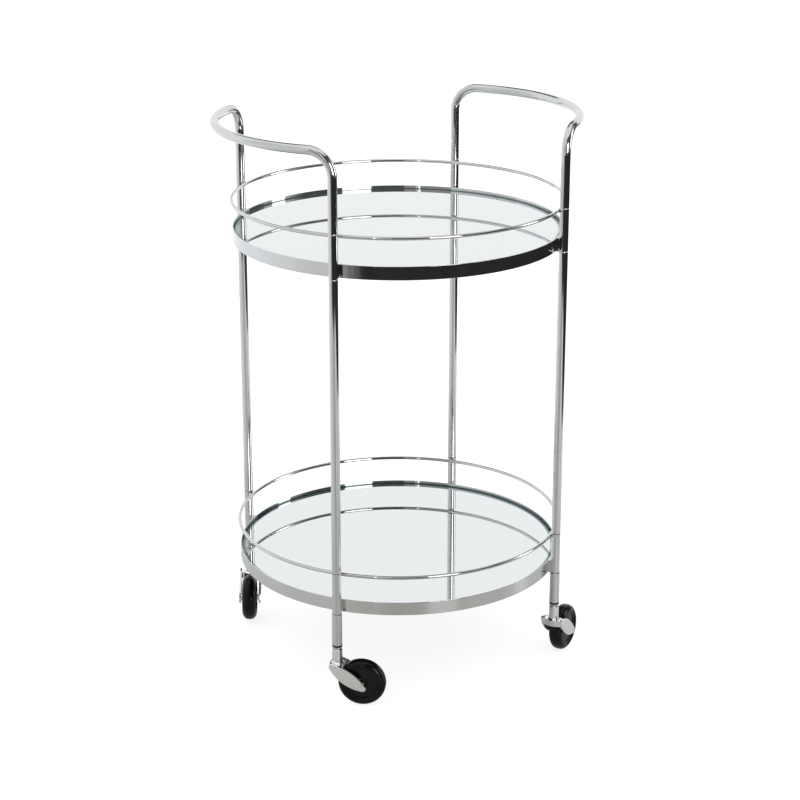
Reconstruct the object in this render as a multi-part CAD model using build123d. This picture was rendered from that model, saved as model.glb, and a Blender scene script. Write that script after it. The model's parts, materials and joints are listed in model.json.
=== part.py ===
"""A round two-tier bar cart on four swivel casters.

Four upright tubes stand on a circle just outside two round mirrored trays. Each tray is a welded frame:
a flat rim band, a ledge inside it, a guard wire above it and four short tubes that the uprights screw
into. A bent tube joins the tops of each pair of uprights as a push handle, at +X and at -X.

Millimetres, +Z up. The origin is on the floor, on the axis of the trays. Front is -Y.
"""

import os
from math import cos, radians, sin, sqrt

from build123d import *

# Trays
TRAY_R = 230.0
RIM_HEIGHT = 18.5
RIM_WALL = 1.5
LOWER_RIM_Z = 133.0
TRAY_PITCH = 473.0
MIRROR_DROP = 5.0
MIRROR_THICK = 4.0
MIRROR_EDGE = 1.0
MIRROR_GAP = 0.5
BOARD_THICK = 3.0
LEDGE_THICK = 1.5
LEDGE_WIDTH = 12.0

# Guard wire, measured up from the underside of its tray's rim
WIRE_D = 4.8
WIRE_Z = 55.8

# Upright tubes
POST_CIRCLE_R = 239.0
POST_D = 12.7
TUBE_WALL = 1.2
SHORT_TUBE_LENGTH = 60.0
END_CHAMFER = 0.7
PAD_WIDTH = 8.0

# Handles
HANDLE_Z = 773.5
HANDLE_BEND_R = 34.5

# Screwed joints inside the tubes
INSERT_LENGTH = 14.0
STUD_R = 3.0
STUD_LENGTH = 24.0

# Legs, below the lower tray
LEG_D = 14.0
LEG_END_Z = 86.5
BUSH_FLANGE = 2.0
BUSH_FLANGE_R = 7.2
BUSH_BARREL = 26.0

# Caster stem and its bearing in the fork
STEM_R = 4.0
STEM_TOP_Z = 109.0
COLLAR_R = 6.9
COLLAR_Z = (81.3, LEG_END_Z - BUSH_FLANGE)
JOURNAL_END_Z = 59.0
RUNNING_CLEARANCE = 0.05
SNAP_Z = 63.0
SNAP_THICK = 1.2
SNAP_GROOVE_R = 3.2
SNAP_R = 5.0

# Caster fork, in its own frame: swivel axis at x 0, wheel trailing along +x
TRAIL = 34.5
HOUSING_R = 7.0
HOUSING_TOP_Z = 80.5
CROWN_Z = (51.5, 60.5)
CROWN_FRONT_X = -10.5
CROWN_BACK_X = 4.5
ARM_INNER_Y = 13.4
ARM_THICK = 2.8
ARM_EDGE = 0.8
LEAF_UPPER_ARC = (-20.6, -8.3, 73.6)
LEAF_LOWER_ARC = (44.2, 82.7, 58.9)
LEAF_CROWN_TIP_R = 4.0
LEAF_AXLE_TIP_R = 5.0
BOSS_R = 5.0
BOSS_FACE_Y = 10.35
AXLE_R = 3.0
AXLE_HALF = 15.4

# Wheel
WHEEL_R = 33.2
TREAD_HALF = 10.0
SHOULDER_R = 8.5
TYRE_INNER_R = 24.3
HUB_R = 8.0
HUB_RIM_R = 22.0
HUB_RIM_HALF = 8.8
WEB_HALF = 7.0

# Where each upright stands, and the way its caster trails, in degrees from +X
CORNERS = {
    "front_left": (225, -33.5),
    "front_right": (315, 38.0),
    "back_right": (45, 150.0),
    "back_left": (135, -114.0),
}

UPPER_RIM_Z = LOWER_RIM_Z + TRAY_PITCH
POST_R = POST_D / 2
BORE_R = POST_R - TUBE_WALL
LEG_R = LEG_D / 2
LEG_BORE_R = LEG_R - TUBE_WALL
WIRE_RING_R = POST_CIRCLE_R - POST_R - WIRE_D / 2 + 0.15
TRAY_INNER_R = TRAY_R - RIM_WALL
MIRROR_R = TRAY_INNER_R - MIRROR_GAP


def corner_places():
    """The uprights' centres, in the order of CORNERS."""
    return [
        Pos(POST_CIRCLE_R * cos(radians(a)), POST_CIRCLE_R * sin(radians(a)), 0)
        for a, _ in CORNERS.values()
    ]


def disc(radius, z, height):
    """A solid cylinder on the Z axis, standing on z."""
    return Pos(0, 0, z) * extrude(Circle(radius), height)


def ring(outer_r, inner_r, z, height):
    """A hollow cylinder on the Z axis, standing on z."""
    return disc(outer_r, z, height) - disc(inner_r, z, height)


def tube(outer_r, z, length):
    """An upright tube on the Z axis with its outer corners broken at both ends."""
    rod = disc(outer_r, z, length)
    rod = chamfer(rod.edges().filter_by(GeomType.CIRCLE), END_CHAMFER)
    return rod - disc(outer_r - TUBE_WALL, z, length)


def at_corners(shape):
    """One copy of shape at every upright."""
    return [place * shape for place in corner_places()]


def save(name, shapes):
    """Writes one node's solids to its STEP file."""
    solids = [s for shape in (shapes if isinstance(shapes, list) else [shapes]) for s in shape.solids()]
    export_step(solids[0] if len(solids) == 1 else Compound(children=solids), f"parts/{name}.step")


# Trays


def rim_band(z):
    band = ring(TRAY_R, TRAY_INNER_R, z, RIM_HEIGHT)
    edges = band.edges().filter_by(GeomType.CIRCLE)
    return fillet(edges, RIM_WALL * 0.3)


def rim_ledge(z):
    top = RIM_HEIGHT - MIRROR_DROP - MIRROR_THICK - BOARD_THICK
    return ring(TRAY_INNER_R, TRAY_INNER_R - LEDGE_WIDTH, z + top - LEDGE_THICK, LEDGE_THICK)


def backing_board(z):
    return disc(MIRROR_R, z + RIM_HEIGHT - MIRROR_DROP - MIRROR_THICK - BOARD_THICK, BOARD_THICK)


def mirror_glass(z):
    glass = disc(MIRROR_R, z + RIM_HEIGHT - MIRROR_DROP - MIRROR_THICK, MIRROR_THICK)
    top_edge = glass.edges().filter_by(GeomType.CIRCLE).sort_by(Axis.Z)[-1]
    return chamfer(top_edge, MIRROR_EDGE)


def guard_wire(z):
    """The wire ring, notched where it is welded to the short tubes."""
    wire = Pos(0, 0, z + WIRE_Z) * Torus(WIRE_RING_R, WIRE_D / 2)
    for post in at_corners(disc(POST_R, z, SHORT_TUBE_LENGTH)):
        wire -= post
    return wire


def spacer_pads(z):
    """The blocks that hold the short tubes off the rim."""
    pads = []
    for (angle, _), place in zip(CORNERS.values(), corner_places()):
        block = Pos(POST_CIRCLE_R - POST_R, 0, z + RIM_HEIGHT / 2) * Box(8, PAD_WIDTH, RIM_HEIGHT)
        pads.append(Rot(0, 0, angle) * block - disc(TRAY_R, z, RIM_HEIGHT) - place * disc(POST_R, z, RIM_HEIGHT))
    return [max(pad.solids(), key=lambda s: -s.center().length) for pad in pads]


def screw_insert(bore_r, z):
    """A plug in the end of a tube, with a threaded hole that is drawn plain."""
    return ring(bore_r, STUD_R, z, INSERT_LENGTH)


def make_tray(name, z):
    save(f"{name}_rim_band", rim_band(z))
    save(f"{name}_mirror_ledge", rim_ledge(z))
    save(f"{name}_backing_board", backing_board(z))
    save(f"{name}_mirror", mirror_glass(z))
    save(f"{name}_guard_wire", guard_wire(z))
    save(f"{name}_spacer_pads", spacer_pads(z))
    save(f"{name}_short_tubes", at_corners(tube(POST_R, z, SHORT_TUBE_LENGTH)))
    ends = [z, z + SHORT_TUBE_LENGTH - INSERT_LENGTH]
    save(f"{name}_tube_inserts", [s for end in ends for s in at_corners(screw_insert(BORE_R, end))])


# Uprights, handles and the studs between them


def handle():
    """The bent tube that joins the two uprights at +X."""
    side = POST_CIRCLE_R / sqrt(2)
    foot_z = UPPER_RIM_Z + SHORT_TUBE_LENGTH
    bend_z = HANDLE_Z - HANDLE_BEND_R
    slant = sqrt(0.5)

    def on_bend(along, up):
        """A point of the front bend: along its plan direction, and up from where it starts."""
        return (side + along * slant, -side + along * slant, bend_z + up)

    half = HANDLE_BEND_R * slant
    front_foot = (side, -side, foot_z)
    front_low = on_bend(0, 0)
    front_mid = on_bend(HANDLE_BEND_R - half, half)
    front_top = on_bend(HANDLE_BEND_R, HANDLE_BEND_R)
    arc_r = (side - half) / slant
    arc_mid = (front_top[0] - arc_r * slant + arc_r, 0, HANDLE_Z)
    mirrored = [(x, -y, z) for x, y, z in (front_top, front_mid, front_low, front_foot)]
    path = Wire(
        [
            Edge.make_line(front_foot, front_low),
            Edge.make_three_point_arc(front_low, front_mid, front_top),
            Edge.make_three_point_arc(front_top, arc_mid, mirrored[0]),
            Edge.make_three_point_arc(mirrored[0], mirrored[1], mirrored[2]),
            Edge.make_line(mirrored[2], mirrored[3]),
        ]
    )
    start = Plane(origin=front_foot, z_dir=(0, 0, 1))
    rod = sweep(start * Circle(POST_R), path=path)
    feet = [e for e in rod.edges().filter_by(GeomType.CIRCLE) if abs(e.center().Z - foot_z) < 0.01]
    return chamfer(feet, END_CHAMFER) - sweep(start * Circle(BORE_R), path=path)


def studs(z):
    return at_corners(disc(STUD_R, z - STUD_LENGTH / 2, STUD_LENGTH))


def make_uprights():
    lower_seam = LOWER_RIM_Z + SHORT_TUBE_LENGTH
    upper_seam = UPPER_RIM_Z + SHORT_TUBE_LENGTH
    right = handle()
    save("handle_right", right)
    save("handle_left", Rot(0, 0, 180) * right)
    save("handle_inserts", at_corners(screw_insert(BORE_R, upper_seam)))
    save("handle_studs", studs(upper_seam))
    for name, place in zip(CORNERS, corner_places()):
        save(f"post_{name}", place * tube(POST_R, lower_seam, UPPER_RIM_Z - lower_seam))
        save(f"leg_{name}", place * tube(LEG_R, LEG_END_Z, LOWER_RIM_Z - LEG_END_Z))
    post_ends = [lower_seam, UPPER_RIM_Z - INSERT_LENGTH]
    save("post_inserts", [s for end in post_ends for s in at_corners(screw_insert(BORE_R, end))])
    save("post_upper_studs", studs(UPPER_RIM_Z))
    save("post_lower_studs", studs(lower_seam))
    save("leg_inserts", at_corners(screw_insert(LEG_BORE_R, LOWER_RIM_Z - INSERT_LENGTH)))
    save("leg_studs", studs(LOWER_RIM_Z))


# Casters


def leg_bush():
    """The black socket in the end of a leg: a barrel inside the tube and a flange below it."""
    barrel = disc(LEG_BORE_R, LEG_END_Z, BUSH_BARREL)
    flange = disc(BUSH_FLANGE_R, LEG_END_Z - BUSH_FLANGE, BUSH_FLANGE)
    rounded = fillet(flange.edges().filter_by(GeomType.CIRCLE), 0.5)
    return barrel + rounded - disc(STEM_R, LEG_END_Z - BUSH_FLANGE, STEM_TOP_Z - LEG_END_Z + BUSH_FLANGE)


def caster_stem():
    """The fixed stem: a shank held in the leg's bush, a collar, and the journal that the fork turns on."""
    low, high = COLLAR_Z
    shaft = disc(STEM_R, JOURNAL_END_Z, STEM_TOP_Z - JOURNAL_END_Z)
    collar = disc(COLLAR_R, low, high - low)
    collar = fillet(collar.edges().filter_by(GeomType.CIRCLE), 0.8)
    groove = ring(STEM_R + 1, SNAP_GROOVE_R, SNAP_Z, SNAP_THICK)
    return shaft + collar - groove


def snap_ring():
    return ring(SNAP_R, SNAP_GROOVE_R, SNAP_Z, SNAP_THICK)


def leaf_outline():
    """The outline of a fork arm in the XZ plane: a long leaf from the crown down to the axle."""
    x, z, radius = LEAF_UPPER_ARC
    leaf = Pos(x, z) * Circle(radius)
    x, z, radius = LEAF_LOWER_ARC
    leaf = leaf & Pos(x, z) * Circle(radius)
    leaf = fillet(leaf.vertices().sort_by(Axis.X)[0], LEAF_CROWN_TIP_R)
    return fillet(leaf.vertices().sort_by(Axis.X)[-1], LEAF_AXLE_TIP_R)


def fork_arm():
    """The arm on the +y side, with its outer edge broken and a boss for the axle inside it."""
    arm = extrude(Plane.XZ.offset(-ARM_INNER_Y) * leaf_outline(), ARM_THICK, dir=(0, 1, 0))
    outer = arm.faces().sort_by(Axis.Y)[-1]
    arm = chamfer(outer.edges(), ARM_EDGE)
    boss = Plane((TRAIL, BOSS_FACE_Y, WHEEL_R), z_dir=(0, 1, 0)) * extrude(Circle(BOSS_R), ARM_INNER_Y - BOSS_FACE_Y)
    return arm + boss


def fork_crown():
    """The bridge over the wheel: a block bowed forwards in plan, as wide as the arms are apart."""
    reach = ARM_INNER_Y + ARM_THICK / 2
    shoulder_x = CROWN_FRONT_X + 4.5
    plan = Wire(
        [
            Edge.make_three_point_arc((shoulder_x, -reach), (CROWN_FRONT_X, 0), (shoulder_x, reach)),
            Edge.make_line((shoulder_x, reach), (CROWN_BACK_X, reach)),
            Edge.make_line((CROWN_BACK_X, reach), (CROWN_BACK_X, -reach)),
            Edge.make_line((CROWN_BACK_X, -reach), (shoulder_x, -reach)),
        ]
    )
    low, high = CROWN_Z
    block = Pos(0, 0, low) * extrude(Face(plan), high - low, dir=(0, 0, 1))
    return fillet(block.edges().filter_by(GeomType.CIRCLE), 1.2)


def caster_fork():
    """Housing, crown and two arms in one casting, bored for the stem, the snap ring and the axle."""
    low, high = CROWN_Z
    housing = disc(HOUSING_R, high - 1, HOUSING_TOP_Z - high + 1)
    top_edge = housing.edges().filter_by(GeomType.CIRCLE).sort_by(Axis.Z)[-1]
    housing = chamfer(top_edge, 0.6)
    skirt = Pos(0, 0, high - 0.5) * Cone(
        HOUSING_R + 2.5, HOUSING_R, 2.5, align=(Align.CENTER, Align.CENTER, Align.MIN)
    )
    arm = fork_arm()
    fork = fork_crown() + housing + skirt + arm + mirror(arm, about=Plane.XZ)
    bore_r = STEM_R + RUNNING_CLEARANCE
    bore_floor = JOURNAL_END_Z - 0.5
    fork -= disc(bore_r, bore_floor, HOUSING_TOP_Z - bore_floor)
    fork -= disc(SNAP_R + 0.4, SNAP_Z - 0.4, SNAP_THICK + 0.8)
    return fork - axle()


def axle():
    across = Plane((TRAIL, -AXLE_HALF, WHEEL_R), z_dir=(0, 1, 0))
    return across * extrude(Circle(AXLE_R), 2 * AXLE_HALF)


def on_axle(profile):
    """Turns a closed outline of (across, radius) points into a solid about the axle."""
    points = [(TRAIL, across, WHEEL_R + radius) for across, radius in profile]
    face = Face(Wire.make_polygon([Vector(*p) for p in points], close=True))
    return revolve(face, Axis((TRAIL, 0, WHEEL_R), (0, 1, 0)))


def wheel_hub():
    """A hub, a thin web and a rim, free on the axle."""
    half = [
        (TREAD_HALF, AXLE_R + RUNNING_CLEARANCE),
        (TREAD_HALF, HUB_R - 1.0),
        (TREAD_HALF - 1.0, HUB_R),
        (WEB_HALF + 0.6, HUB_R + 1.0),
        (WEB_HALF, HUB_RIM_R - 1.5),
        (HUB_RIM_HALF, HUB_RIM_R),
        (HUB_RIM_HALF, TYRE_INNER_R),
    ]
    return on_axle(half + [(-across, radius) for across, radius in reversed(half)])


def tyre():
    """The rubber tyre: a flat tread with round shoulders, on the rim of the hub."""
    blank = Plane((TRAIL, -TREAD_HALF, WHEEL_R), z_dir=(0, 1, 0)) * extrude(Circle(WHEEL_R), 2 * TREAD_HALF)
    outer_edges = blank.edges().filter_by(GeomType.CIRCLE)
    blank = fillet(outer_edges, SHOULDER_R)
    core = Plane((TRAIL, -TREAD_HALF, WHEEL_R), z_dir=(0, 1, 0)) * extrude(Circle(TYRE_INNER_R), 2 * TREAD_HALF)
    hollow = blank - core
    inner_edges = [e for e in hollow.edges().filter_by(GeomType.CIRCLE) if abs(e.radius - TYRE_INNER_R) < 0.01]
    return chamfer(inner_edges, 0.6)


def make_casters():
    save("leg_bushes", at_corners(leg_bush()))
    save("snap_rings", at_corners(snap_ring()))
    stem = caster_stem()
    moving = {"fork": caster_fork(), "axle": axle(), "wheel_hub": wheel_hub(), "tyre": tyre()}
    for (name, (_, yaw)), place in zip(CORNERS.items(), corner_places()):
        save(f"caster_{name}_stem", place * stem)
        for piece, shape in moving.items():
            save(f"caster_{name}_{piece}", place * Rot(0, 0, yaw) * shape)


os.makedirs("parts", exist_ok=True)
make_tray("lower", LOWER_RIM_Z)
make_tray("upper", UPPER_RIM_Z)
make_uprights()
make_casters()
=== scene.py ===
"""Looks, studio and camera for the bar cart. Metres, in the CAD's frame: +Z up, front at -Y.

The CAD pieces are right as they are, so they stay and get finished materials. Only details too
fine for the CAD are built here. A studio of floor, walls and dark flags gives the chrome and the
mirrors what they reflect.
"""

import json
import math

import bmesh
import bpy
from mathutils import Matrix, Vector


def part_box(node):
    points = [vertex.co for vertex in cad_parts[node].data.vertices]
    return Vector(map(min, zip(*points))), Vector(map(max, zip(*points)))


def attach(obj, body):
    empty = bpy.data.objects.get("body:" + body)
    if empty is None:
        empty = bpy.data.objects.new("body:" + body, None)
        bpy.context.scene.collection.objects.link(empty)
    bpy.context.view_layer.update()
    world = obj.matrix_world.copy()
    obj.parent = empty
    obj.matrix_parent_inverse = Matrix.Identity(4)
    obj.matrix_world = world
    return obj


# Camera: where it stands relative to the cart's axis, and what it looks at
CAMERA_AZIMUTH = -24.2
CAMERA_DISTANCE = 2.795
CAMERA_HEIGHT = 1.33
CAMERA_SIDE = -0.0138
AIM_HEIGHT = 0.364
AIM_SIDE = 0.0025
CAMERA_LENS_MM = 93.0

MM = 0.001
UP = Vector((0, 0, 1))
CORNERS = ("front_left", "front_right", "back_right", "back_left")

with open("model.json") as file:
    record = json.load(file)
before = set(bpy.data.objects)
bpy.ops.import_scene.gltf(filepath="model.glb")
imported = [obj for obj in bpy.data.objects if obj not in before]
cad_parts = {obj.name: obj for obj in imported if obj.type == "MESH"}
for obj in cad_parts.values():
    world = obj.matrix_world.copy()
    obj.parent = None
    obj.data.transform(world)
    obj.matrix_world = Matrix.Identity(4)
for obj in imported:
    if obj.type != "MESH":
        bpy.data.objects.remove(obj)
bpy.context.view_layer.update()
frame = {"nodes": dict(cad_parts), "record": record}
scene = bpy.context.scene


# Materials

# The mirror's bevelled edge: how wide its dark band is, and how far inside the glass it ends. The
# band is the green of the thick glass, and its darkest outer end is painted shade of the gap along
# the rim
BEVEL_WIDTH = 6 * MM
BEVEL_MARGIN = 0.9 * MM
# A fork's surface turns from polished to satin as it turns square to the axle: the cosines at
# which that starts and ends
SATIN_FACING = (0.9, 0.97)


class Finish:
    """A Principled material and the nodes that vary it, all in the object's own coordinates."""

    def __init__(self, name, color, metallic=0.0, roughness=0.5, specular=0.5):
        self.material = bpy.data.materials.new(name)
        self.material.use_nodes = True
        self.tree = self.material.node_tree
        self.shader = self.tree.nodes["Principled BSDF"]
        self.shader.inputs["Base Color"].default_value = (*color, 1)
        self.shader.inputs["Metallic"].default_value = metallic
        self.shader.inputs["Roughness"].default_value = roughness
        self.shader.inputs["Specular IOR Level"].default_value = specular
        texture_space = self.node("ShaderNodeTexCoord")
        self.coordinates = texture_space.outputs["Object"]
        self.normal = texture_space.outputs["Normal"]

    def node(self, kind, **settings):
        made = self.tree.nodes.new(kind)
        for key, value in settings.items():
            setattr(made, key, value)
        return made

    def link(self, source, target):
        self.tree.links.new(source, target)

    def calculated(self, kind, operation, *sources, output="Value"):
        """What a maths node makes of its sources, which are sockets to follow or constants."""
        made = self.node(kind, operation=operation)
        for socket, source in zip(made.inputs, sources):
            if isinstance(source, bpy.types.NodeSocket):
                self.link(source, socket)
            else:
                socket.default_value = source
        return made.outputs[output]

    def stretched(self, stretch):
        """The object's coordinates, scaled by stretch along each axis."""
        mapping = self.node("ShaderNodeMapping")
        mapping.inputs["Scale"].default_value = stretch
        self.link(self.coordinates, mapping.inputs["Vector"])
        return mapping.outputs["Vector"]

    def from_axis(self):
        """How far the surface is from the Z axis."""
        return self.calculated("ShaderNodeVectorMath", "LENGTH", self.stretched((1, 1, 0)))

    def noise(self, size, detail=3.0, stretch=(1, 1, 1), distortion=0.0):
        """Noise with features about size metres across."""
        texture = self.node("ShaderNodeTexNoise")
        texture.inputs["Scale"].default_value = 1 / size
        texture.inputs["Detail"].default_value = detail
        texture.inputs["Distortion"].default_value = distortion
        self.link(self.stretched(stretch), texture.inputs["Vector"])
        return texture.outputs["Fac"]

    def ranged(self, factor, low, high, start=0.3, end=0.7):
        """factor from start to end becomes a value from low to high."""
        mapped = self.node("ShaderNodeMapRange")
        mapped.inputs["From Min"].default_value = start
        mapped.inputs["From Max"].default_value = end
        mapped.inputs["To Min"].default_value = low
        mapped.inputs["To Max"].default_value = high
        self.link(factor, mapped.inputs["Value"])
        return mapped.outputs["Result"]

    def ramp(self, factor, stops):
        """A colour ramp of (position, colour) stops."""
        ramp = self.node("ShaderNodeValToRGB")
        elements = ramp.color_ramp.elements
        while len(elements) < len(stops):
            elements.new(0.5)
        for element, (position, color) in zip(elements, stops):
            element.position = position
            element.color = (*color, 1)
        self.link(factor, ramp.inputs["Fac"])
        return ramp.outputs["Color"]

    def colors(self, factor, stops):
        """The base colour goes through the stops as factor goes from 0 to 1."""
        self.link(self.ramp(factor, stops), self.shader.inputs["Base Color"])

    def roughness(self, factor, low, high, start=0.3, end=0.7):
        rough = self.ranged(factor, low, high, start, end)
        self.link(rough, self.shader.inputs["Roughness"])

    def bump(self, height, depth):
        """Raises the surface by up to depth metres. Later calls go on top of earlier ones."""
        bump = self.node("ShaderNodeBump")
        bump.inputs["Distance"].default_value = depth
        bump.inputs["Strength"].default_value = 1.0
        self.link(height, bump.inputs["Height"])
        normal = self.shader.inputs["Normal"]
        if normal.is_linked:
            self.link(normal.links[0].from_socket, bump.inputs["Normal"])
        self.link(bump.outputs["Normal"], normal)


def chrome(name, wave_depth, wave_size, draw=(1, 1, 1)):
    """Polished chrome plate: faint waves in the metal, a soft haze and fine wipe marks."""
    finish = Finish(name, (0.66, 0.66, 0.66), metallic=1.0, roughness=0.06)
    haze = finish.noise(45 * MM, detail=4.0, distortion=0.4)
    finish.colors(haze, [(0.3, (0.635, 0.64, 0.64)), (0.7, (0.685, 0.69, 0.69))])
    finish.roughness(finish.noise(14 * MM, detail=6.0, stretch=draw), 0.03, 0.085)
    finish.bump(finish.noise(wave_size, detail=1.0), wave_depth)
    finish.bump(finish.noise(1.2 * MM, detail=4.0, stretch=draw), 0.001 * MM)
    return finish.material


def mirror_glass(name, edge_radius):
    """A silvered mirror. Its bevelled edge is the dark green of thick glass and reflects little;
    the darkest outer end of that band is painted shade of the gap along the rim.
    """
    finish = Finish(name, (0.83, 0.86, 0.86), metallic=1.0, roughness=0.01)
    # Green glass edge band, darkest at its outer end as painted shade of the gap along the rim
    edge = finish.ranged(finish.from_axis(), 0.0, 1.0, edge_radius - BEVEL_WIDTH, edge_radius)
    finish.colors(
        edge,
        [
            (0.0, (0.82, 0.84, 0.845)),
            (0.2, (0.60, 0.66, 0.66)),
            (0.45, (0.15, 0.22, 0.22)),
            (1.0, (0.08, 0.14, 0.14)),
        ],
    )
    silver = finish.ranged(edge, 1.0, 0.4, start=0.2, end=0.5)
    finish.link(silver, finish.shader.inputs["Metallic"])
    finish.roughness(finish.noise(60 * MM, detail=5.0, distortion=0.6), 0.0, 0.012)
    finish.bump(finish.noise(150 * MM, detail=0.0), 0.004 * MM)
    return finish.material


def fork_metal(name, axle):
    """A chromed die casting. Its flat outer faces, square to the axle, have a fine satin grain."""
    finish = Finish(name, (0.8, 0.8, 0.79), metallic=1.0, roughness=0.3)
    facing = finish.calculated("ShaderNodeVectorMath", "DOT_PRODUCT", finish.normal, axle)
    square_on = finish.calculated("ShaderNodeMath", "ABSOLUTE", facing)
    satin = finish.ranged(square_on, 0.0, 1.0, *SATIN_FACING)
    grain = finish.ranged(finish.noise(1.0 * MM, detail=6.0), 0.35, 1.0)
    shade = finish.calculated("ShaderNodeMath", "MULTIPLY", satin, grain)
    finish.colors(
        shade,
        [(0.0, (0.86, 0.86, 0.855)), (0.35, (0.80, 0.80, 0.785)), (1.0, (1.0, 0.995, 0.98))],
    )
    finish.roughness(shade, 0.09, 0.51, start=0.0, end=1.0)
    finish.bump(shade, 0.012 * MM)
    finish.bump(finish.noise(9 * MM, detail=1.0), 0.06 * MM)
    return finish.material


def turned_steel(name):
    """Bright turned steel: fine rings round the Z axis."""
    finish = Finish(name, (0.62, 0.62, 0.62), metallic=1.0, roughness=0.15)
    rings = finish.noise(0.35 * MM, detail=3.0, stretch=(0.02, 0.02, 1.0))
    finish.colors(rings, [(0.2, (0.55, 0.55, 0.55)), (0.8, (0.68, 0.68, 0.67))])
    finish.roughness(rings, 0.08, 0.22)
    finish.bump(rings, 0.004 * MM)
    return finish.material


def zinc_plate(name):
    """Zinc-plated steel: a faint yellow-grey bloom over a dull shine."""
    finish = Finish(name, (0.55, 0.55, 0.52), metallic=1.0, roughness=0.3)
    bloom = finish.noise(3 * MM, detail=5.0)
    finish.colors(bloom, [(0.3, (0.48, 0.48, 0.46)), (0.7, (0.62, 0.61, 0.56))])
    finish.roughness(finish.noise(1.5 * MM, detail=4.0), 0.22, 0.42)
    finish.bump(finish.noise(0.6 * MM, detail=3.0), 0.01 * MM)
    return finish.material


def black_plastic(name, roughness, speck):
    """Black moulded plastic: a fine pebbled skin with faint flow marks."""
    finish = Finish(name, (0.004, 0.004, 0.005), roughness=roughness, specular=0.25)
    flow = finish.noise(9 * MM, detail=4.0)
    finish.colors(flow, [(0.3, (0.002, 0.002, 0.003)), (0.7, (0.006, 0.006, 0.007))])
    finish.roughness(finish.noise(6 * MM, detail=4.0), roughness - 0.06, roughness + 0.08)
    finish.bump(finish.noise(speck, detail=2.0), 0.004 * MM)
    return finish.material


def rubber(name):
    """Black solid rubber with a soft moulded shine, faintly dusty in random patches and finely
    scuffed.
    """
    finish = Finish(name, (0.004, 0.004, 0.004), roughness=0.22, specular=0.2)
    finish.colors(
        finish.noise(4 * MM, detail=6.0),
        [(0.3, (0.002, 0.002, 0.002)), (0.62, (0.004, 0.004, 0.004)), (0.9, (0.009, 0.009, 0.008))],
    )
    finish.roughness(finish.noise(3 * MM, detail=5.0), 0.1, 0.22)
    finish.bump(finish.noise(0.7 * MM, detail=4.0), 0.003 * MM)
    return finish.material


def painted_board(name):
    """Black-painted hardboard: roller stipple over a faint fibre."""
    finish = Finish(name, (0.02, 0.02, 0.02), roughness=0.55, specular=0.4)
    fibre = finish.noise(6 * MM, detail=6.0)
    finish.colors(fibre, [(0.3, (0.014, 0.014, 0.014)), (0.7, (0.028, 0.027, 0.026))])
    finish.roughness(finish.noise(2 * MM, detail=3.0), 0.45, 0.65)
    finish.bump(finish.noise(1.6 * MM, detail=3.0), 0.05 * MM)
    return finish.material


mirror_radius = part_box("upper_mirror")[1].x
finishes = {
    "rim_band": chrome("chrome_band", 0.03 * MM, 45 * MM, draw=(1, 1, 0.04)),
    "mirror_ledge": chrome("chrome_ledge", 0.02 * MM, 30 * MM),
    "tube": chrome("chrome_tube", 0.004 * MM, 30 * MM, draw=(1, 1, 0.05)),
    "wire": chrome("chrome_wire", 0.003 * MM, 20 * MM),
    "pad": chrome("chrome_pad", 0.01 * MM, 6 * MM),
    "mirror": mirror_glass("mirror_glass", mirror_radius - BEVEL_MARGIN),
    "backing_board": painted_board("painted_board"),
    "stem": turned_steel("turned_stem"),
    "axle": turned_steel("turned_axle"),
    "screw": zinc_plate("zinc_screws"),
    "bush": black_plastic("nylon_bush", 0.25, 0.8 * MM),
    "hub": black_plastic("moulded_hub", 0.22, 0.6 * MM),
    "tyre": rubber("solid_rubber"),
}

# The finish of each CAD node is that of the first of these words found in its name
FINISH_BY_WORD = [
    ("inserts", "screw"),
    ("studs", "screw"),
    ("snap", "screw"),
    ("bushes", "bush"),
    ("rim_band", "rim_band"),
    ("ledge", "mirror_ledge"),
    ("board", "backing_board"),
    ("wire", "wire"),
    ("pads", "pad"),
    ("mirror", "mirror"),
    ("stem", "stem"),
    ("axle", "axle"),
    ("wheel_hub", "hub"),
    ("tyre", "tyre"),
    ("handle", "tube"),
    ("post", "tube"),
    ("leg", "tube"),
    ("tubes", "tube"),
]


def joint_axis(joint_name):
    joints = frame["record"]["behaviour"]["joints"]
    return Vector(next(joint["axis"] for joint in joints if joint["name"] == joint_name))


def node_material(node_name):
    if node_name.endswith("_fork"):
        corner = node_name.removeprefix("caster_").removesuffix("_fork")
        return fork_metal("fork_" + corner, joint_axis("roll_" + corner))
    return finishes[next(finish for word, finish in FINISH_BY_WORD if word in node_name)]


for node_name, obj in frame["nodes"].items():
    obj.data.materials.clear()
    obj.data.materials.append(node_material(node_name))


# Details too fine for the CAD: weld beads, black rings of painted shade in the seams between tubes,
# raised rings on the tyres

# The section that beads and rings share
SECTION_SIDES = 10
SECTION_TURNS = [2 * math.pi * k / SECTION_SIDES for k in range(SECTION_SIDES)]

BEAD_STEPS = 40
BEAD_RIPPLE = 0.09
BEAD_RIPPLE_PITCH = 0.9 * MM
# The beads on a guard wire. All but the length are shares of the wire's radius: the inset is from
# its outermost line, and the rise is above or below its middle.
WIRE_BEAD_LENGTH = 6 * MM
WIRE_BEAD_RADIUS = 0.3
WIRE_BEAD_INSET = 0.15
WIRE_BEAD_RISE = 0.75
# Half a spacer pad's width, its beads' radius, and the share of its height that they cover
PAD_HALF_WIDTH = 4 * MM
PAD_BEAD_RADIUS = 0.7 * MM
PAD_BEAD_SHARE = 0.94

RING_STEPS = 120
# The rings on a tyre: their place as a share of its radius, and how deep they sit in its side
TYRE_RING_PLACE = 0.81
TYRE_RING_THICKNESS = 0.3 * MM
TYRE_RING_DEPTH = 0.25 * MM
# How deep each ring of painted seam shade sits and how thick it is
LEG_SEAM_SHADE = (0.35 * MM, 0.55 * MM)
POST_SEAM_SHADE = (0.45 * MM, 0.35 * MM)


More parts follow.
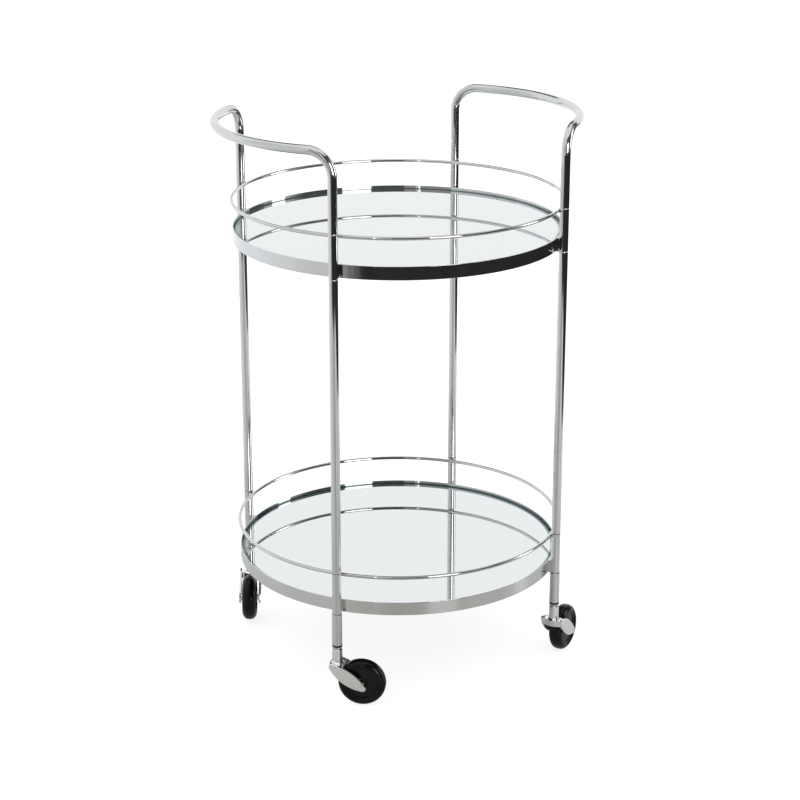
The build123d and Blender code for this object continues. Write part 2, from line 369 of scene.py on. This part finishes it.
def add_loops(mesh, loops, closed):
    """Skins a row of equal loops of points. A closed row runs round on itself, others get caps."""
    rows = [[mesh.verts.new(point) for point in loop] for loop in loops]
    pairs = list(zip(rows, rows[1:])) + ([(rows[-1], rows[0])] if closed else [])
    for one, other in pairs:
        for i in range(len(one)):
            j = (i + 1) % len(one)
            mesh.faces.new((one[i], one[j], other[j], other[i]))
    if not closed:
        mesh.faces.new(list(reversed(rows[0])))
        mesh.faces.new(rows[-1])


def add_bead(mesh, centre, along, length, radius):
    """A weld bead: a rod with rounded ends and the ripples that the weld pool leaves."""
    side = along.orthogonal().normalized()
    other_side = along.cross(side)
    loops = []
    for step in range(1, BEAD_STEPS):
        t = 2 * step / BEAD_STEPS - 1
        ripple = 1 + BEAD_RIPPLE * math.sin(2 * math.pi * t * length / 2 / BEAD_RIPPLE_PITCH)
        thickness = radius * (1 - t**4) ** 0.5 * ripple
        middle = centre + along * (t * length / 2)
        spokes = [side * math.cos(a) + other_side * math.sin(a) for a in SECTION_TURNS]
        loops.append([middle + spoke * thickness for spoke in spokes])
    add_loops(mesh, loops, closed=False)


def add_ring(mesh, centre, axis, radius, thickness):
    """A ring of round section about an axis."""
    start = axis.orthogonal().normalized()
    loops = []
    for step in range(RING_STEPS):
        angle = 2 * math.pi * step / RING_STEPS
        spoke = start * math.cos(angle) + axis.cross(start) * math.sin(angle)
        section = [(thickness * math.cos(a), thickness * math.sin(a)) for a in SECTION_TURNS]
        loops.append([centre + spoke * (radius + out) + axis * along for out, along in section])
    add_loops(mesh, loops, closed=True)


def piece(name, fill, material, body):
    """Makes a smooth mesh with fill(bmesh), riding on a CAD body."""
    made = bmesh.new()
    fill(made)
    bmesh.ops.recalc_face_normals(made, faces=made.faces)
    mesh = bpy.data.meshes.new(name)
    made.to_mesh(mesh)
    made.free()
    mesh.materials.append(material)
    mesh.shade_smooth()
    obj = bpy.data.objects.new(name, mesh)
    scene.collection.objects.link(obj)
    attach(obj, body)


def box_middle(node_name):
    low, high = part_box(node_name)
    return (low + high) / 2


def post_place(corner):
    """Where a post's axis meets the floor."""
    return box_middle("post_" + corner) * Vector((1, 1, 0))


def wire_beads(tray):
    """A bead above and below the guard wire where it touches each short tube."""
    low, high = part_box(tray + "_guard_wire")
    wire_radius = (high.z - low.z) / 2
    middle = (high.z + low.z) / 2
    outer = high.x - WIRE_BEAD_INSET * wire_radius
    rise = WIRE_BEAD_RISE * wire_radius

    def fill(mesh):
        for corner in CORNERS:
            outward = post_place(corner).normalized()
            for side in (-1, 1):
                centre = outward * outer + UP * (middle + side * rise)
                bead_radius = WIRE_BEAD_RADIUS * wire_radius
                add_bead(mesh, centre, outward.cross(UP), WIRE_BEAD_LENGTH, bead_radius)

    return fill


def pad_beads(tray):
    """A bead down each side of a spacer pad, where it meets the short tube."""
    low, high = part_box(tray + "_spacer_pads")
    post_low, post_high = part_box("post_front_left")
    post_radius = (post_high.x - post_low.x) / 2
    inset = (post_radius**2 - PAD_HALF_WIDTH**2) ** 0.5

    def fill(mesh):
        for corner in CORNERS:
            place = post_place(corner)
            outward = place.normalized()
            for side in (-1, 1):
                centre = place - outward * inset + outward.cross(UP) * (side * PAD_HALF_WIDTH)
                centre += UP * ((low.z + high.z) / 2)
                add_bead(mesh, centre, UP, PAD_BEAD_SHARE * (high.z - low.z), PAD_BEAD_RADIUS)

    return fill


def tyre_rings(corner):
    """A fine raised ring on each side of the tyre, on its rounded shoulder."""
    tyre_name = f"caster_{corner}_tyre"
    low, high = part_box(tyre_name)
    centre = (low + high) / 2
    axle = joint_axis("roll_" + corner)
    radius = (high.z - low.z) / 2 * TYRE_RING_PLACE
    vertices = [v.co - centre for v in frame["nodes"][tyre_name].data.vertices]
    at_ring = [v.dot(axle) for v in vertices if (v - axle * v.dot(axle)).length < radius]
    half_width = max(at_ring) - TYRE_RING_DEPTH

    def fill(mesh):
        for side in (-1, 1):
            add_ring(mesh, centre + axle * (side * half_width), axle, radius, TYRE_RING_THICKNESS)

    return fill


def seam_shadow_rings(mesh):
    """Black rings in the gaps where a post meets its short tube, and the tube its leg, at the lower
    tray: painted shade in those gaps.
    """
    for corner in CORNERS:
        post_low, post_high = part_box("post_" + corner)
        place = post_place(corner)
        radius = (post_high.x - post_low.x) / 2
        leg_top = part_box("leg_" + corner)[1].z
        for z, depth, thickness in ((leg_top, *LEG_SEAM_SHADE), (post_low.z, *POST_SEAM_SHADE)):
            add_ring(mesh, place + UP * z, UP, radius - depth, thickness)


weld = chrome("chrome_weld", 0.03 * MM, 1.5 * MM)
for tray in ("upper", "lower"):
    piece(tray + "_wire_welds", wire_beads(tray), weld, "frame")
    piece(tray + "_pad_welds", pad_beads(tray), weld, "frame")
# Black rings that paint the shade inside the seams between tubes
piece("joint_seam_shadows", seam_shadow_rings, black_plastic("seam_shadow", 0.4, 0.5 * MM), "frame")
for corner in CORNERS:
    rings = tyre_rings(corner)
    piece("tyre_rings_" + corner, rings, finishes["tyre"], "wheel_" + corner)


# Studio. Directions round the cart are in degrees from +X, counterclockwise seen from above.
# Sizes and distances are in metres, distances and radii from the cart's axis.

FLOOR_HALF = 14.0
FLOOR_GLOW = 0.81
# Two more floors, just under the one that the camera sees, show only in reflections
PAPER_HEIGHT = -0.002
CLOTH_HEIGHT = -0.001

WALL_RADIUS = 6.0
WALL_FOOT = -0.1
WALL_TOP = 7.0
WALL_HEIGHTS = (WALL_FOOT, WALL_TOP)
PANEL_RADIUS = 5.8
SOFTBOX_RADIUS = 5.5
CEILING_HALF = 1.2 * WALL_RADIUS
SEGMENT_DEGREES = 3

# The paper: how much of its light is left under the cart, and from where to where it comes back
UNDER_CART_LIGHT = 0.6
CART_SHADE = (0.18, 0.36)
# Its light near the cart and far from it, each from behind the cart to PAPER_DIM_TOWARD, and from
# where to where near becomes far
PAPER_DIM_TOWARD = -109
NEAR_TO_FAR = (0.66, 1.0)
NEAR_LIGHT = [
    (0.0, (0.60, 0.61, 0.61)),
    (0.5, (0.60, 0.605, 0.605)),
    (0.87, (0.56, 0.555, 0.54)),
    (0.96, (0.49, 0.485, 0.465)),
    (1.0, (0.45, 0.445, 0.425)),
]
FAR_LIGHT = [
    (0.0, (0.93, 0.96, 1.0)),
    (0.5, (0.78, 0.79, 0.81)),
    (0.87, (0.62, 0.62, 0.605)),
    (0.96, (0.50, 0.495, 0.475)),
    (1.0, (0.42, 0.415, 0.40)),
]
# Where the paper ends at the front right: (direction, distance)
PAPER_EDGE = (
    (-137.5, 2.1),
    (-95, 2.1),
    (-75, 1.9),
    (-55, 1.45),
    (-39, 1.25),
    (-4, 1.3),
    (31, 2.1),
)
# How the light falls off from the paper's left end to the dark: (from, to, strength), and at what
# distance each step starts and ends
DUSK_STEPS = (
    (-158, -147.5, 0.32),
    (-147.5, -143, 0.2),
    (-143, -139.5, 0.13),
    (-139.5, -137.5, 0.055),
)
DUSK_DISTANCES = (2.15, 2.1)

# The right softbox, and how far on each side of its middle it lights the front wall behind it
RIGHT_SOFTBOX = (337, 350)
GLOOM_REACH = 26
# How bright the front wall is, from well away from that softbox to right behind it
GLOOM_LIGHT = [(0.0, (0.1, 0.098, 0.096)), (0.35, (0.16, 0.158, 0.155)), (1.0, (0.6, 0.6, 0.6))]


def toward(degrees):
    """The unit vector along the floor in a direction."""
    return Vector((math.cos(math.radians(degrees)), math.sin(math.radians(degrees)), 0))


def stage_mesh(name, points, faces, material, seen=True):
    """A stage object that the camera sees, or one that shows only in reflections."""
    mesh = bpy.data.meshes.new(name)
    mesh.from_pydata([Vector(p) for p in points], [], faces)
    mesh.materials.append(material)
    stage_object = bpy.data.objects.new(name, mesh)
    scene.collection.objects.link(stage_object)
    stage_object.visible_camera = seen
    stage_object.visible_diffuse = seen
    stage_object.visible_glossy = not seen
    stage_object.visible_shadow = seen


def square(half, z):
    return [(-half, -half, z), (half, -half, z), (half, half, z), (-half, half, z)]


def pale_floor():
    """The floor that the camera sees: pale, and lit from within so that shadows stay faint."""
    finish = Finish("pale_floor", (0.4, 0.4, 0.4), roughness=0.9, specular=0.1)
    finish.colors(finish.noise(0.4), [(0.3, (0.39, 0.39, 0.39)), (0.7, (0.41, 0.41, 0.41))])
    finish.shader.inputs["Emission Color"].default_value = (1, 1, 1, 1)
    finish.shader.inputs["Emission Strength"].default_value = FLOOR_GLOW
    return finish.material


def glow(name, color, strength):
    """An evenly lit surface, very slightly mottled like fabric."""
    finish = Finish(name, (0, 0, 0), roughness=1.0, specular=0.0)
    finish.colors(finish.noise(0.5), [(0.3, (0, 0, 0)), (0.7, (0.005, 0.005, 0.005))])
    finish.shader.inputs["Emission Color"].default_value = (*color, 1)
    finish.shader.inputs["Emission Strength"].default_value = strength
    return finish.material


def facing_ratio(finish, direction):
    """The cosine of the angle, seen from above, between a direction and where the surface is."""
    flat = finish.stretched((1, 1, 0))
    outward = finish.calculated("ShaderNodeVectorMath", "NORMALIZE", flat, output="Vector")
    return finish.calculated("ShaderNodeVectorMath", "DOT_PRODUCT", outward, toward(direction))


def reflected_floor():
    """The floor that the chrome sees: paper, dimmest just in front of the cart, by the camera."""
    finish = Finish("reflected_floor", (0, 0, 0), roughness=0.3, specular=0.12)
    ahead = finish.ranged(facing_ratio(finish, PAPER_DIM_TOWARD), 0.0, 1.0, -1.0, 1.0)
    distance = finish.from_axis()
    light = finish.node("ShaderNodeMixRGB")
    finish.link(finish.ranged(distance, 0.0, 1.0, *NEAR_TO_FAR), light.inputs["Fac"])
    finish.link(finish.ramp(ahead, NEAR_LIGHT), light.inputs["Color1"])
    finish.link(finish.ramp(ahead, FAR_LIGHT), light.inputs["Color2"])
    finish.link(light.outputs["Color"], finish.shader.inputs["Emission Color"])
    shade = finish.ranged(distance, UNDER_CART_LIGHT, 1.0, *CART_SHADE)
    finish.link(shade, finish.shader.inputs["Emission Strength"])
    return finish.material


def gloom_beside(name, direction, reach):
    """A dim wall that a softbox lights a little, out to reach degrees on each side of it."""
    finish = Finish(name, (0, 0, 0), roughness=1.0, specular=0.0)
    near = math.cos(math.radians(reach))
    lit = finish.ranged(facing_ratio(finish, direction), 0.0, 1.0, near, 1.0)
    finish.link(finish.ramp(lit, GLOOM_LIGHT), finish.shader.inputs["Emission Color"])
    finish.shader.inputs["Emission Strength"].default_value = 1.0
    return finish.material


def beyond(name, edge, material):
    """Floor cloth from an edge of (direction, distance) pairs outwards, only for reflections."""
    lines = [(toward(direction), near) for direction, near in edge]
    points = [line * r + UP * CLOTH_HEIGHT for line, near in lines for r in (near, FLOOR_HALF)]
    faces = [(2 * i, 2 * i + 1, 2 * i + 3, 2 * i + 2) for i in range(len(edge) - 1)]
    stage_mesh(name, points, faces, material, seen=False)


def wall(name, directions, heights, material, radius=WALL_RADIUS):
    """A curved wall round the cart from one direction to another, that only reflections show."""
    start, end = directions
    steps = max(1, round((end - start) / SEGMENT_DEGREES))
    angles = [start + (end - start) * i / steps for i in range(steps + 1)]
    points = [toward(a) * radius + UP * z for a in angles for z in heights]
    faces = [(2 * i, 2 * i + 2, 2 * i + 3, 2 * i + 1) for i in range(steps)]
    stage_mesh(name, points, faces, material, seen=False)


paper = square(FLOOR_HALF, PAPER_HEIGHT)
stage_mesh("floor", square(FLOOR_HALF, 0), [(0, 1, 2, 3)], pale_floor())
stage_mesh("reflected_floor", paper, [(0, 1, 2, 3)], reflected_floor(), seen=False)
beyond("dark_floor", PAPER_EDGE, glow("dark_cloth", (1.0, 0.97, 0.95), 0.027))
for start, end, strength in DUSK_STEPS:
    cloth = glow(f"dusk_cloth_{-start}", (1.0, 0.98, 0.95), strength)
    beyond(f"dusk_floor_{-start}", tuple(zip((start, end), DUSK_DISTANCES)), cloth)

white = glow("white_wall", (0.985, 0.995, 1.0), 1.0)
grey = glow("grey_wall", (0.96, 0.99, 1.0), 0.78)
gloom = glow("gloom", (1.0, 0.98, 0.96), 0.1)
lamp_cloth = glow("softbox_cloth", (1.0, 1.0, 1.0), 4.0)
warm = glow("warm_panel", (1.0, 0.985, 0.95), 0.37)
lit_gloom = gloom_beside("lit_gloom", sum(RIGHT_SOFTBOX) / 2, GLOOM_REACH)
main_lamp_cloth = glow("main_softbox", (1, 1, 1), 4.5)
ceiling_cloth = glow("ceiling_cloth", (1, 1, 1), 0.97)

wall("back_wall", (20, 150), WALL_HEIGHTS, white)
wall("back_valance", (38, 102), (3.2, WALL_TOP), gloom, radius=4.0)
wall("left_wall", (150, 241), WALL_HEIGHTS, grey)
wall("warm_panel", (206, 241), (WALL_FOOT, 3.7), warm, PANEL_RADIUS)
wall("lamp_tube", (229.4, 230.6), (0.4, 3.6), lamp_cloth, SOFTBOX_RADIUS)
wall("front_wall", (241, 380), WALL_HEIGHTS, lit_gloom)
wall("front_valance", (232, 380), (4.4, WALL_TOP), gloom, radius=4.6)
wall("softbox_front", (266, 287), (0.5, 3.4), main_lamp_cloth, SOFTBOX_RADIUS)
wall("softbox_right", RIGHT_SOFTBOX, (0.3, 3.6), lamp_cloth, SOFTBOX_RADIUS)
stage_mesh("ceiling", square(CEILING_HALF, WALL_TOP), [(0, 3, 2, 1)], ceiling_cloth, seen=False)

world = bpy.data.worlds.new("studio")
world.use_nodes = True
background = world.node_tree.nodes["Background"]
background.inputs["Color"].default_value = (1.0, 1.0, 1.0, 1)
background.inputs["Strength"].default_value = 1.0
world.cycles_visibility.glossy = False
scene.world = world


# Camera

right = toward(CAMERA_AZIMUTH)
back = toward(CAMERA_AZIMUTH - 90)
camera = bpy.data.objects.new("camera", bpy.data.cameras.new("camera"))
camera.data.lens = CAMERA_LENS_MM
camera.location = back * CAMERA_DISTANCE + right * CAMERA_SIDE + UP * CAMERA_HEIGHT
aim = right * AIM_SIDE + UP * AIM_HEIGHT
camera.rotation_euler = (camera.location - aim).to_track_quat("Z", "Y").to_euler()
scene.collection.objects.link(camera)
scene.camera = camera
scene.view_settings.view_transform = "Standard"
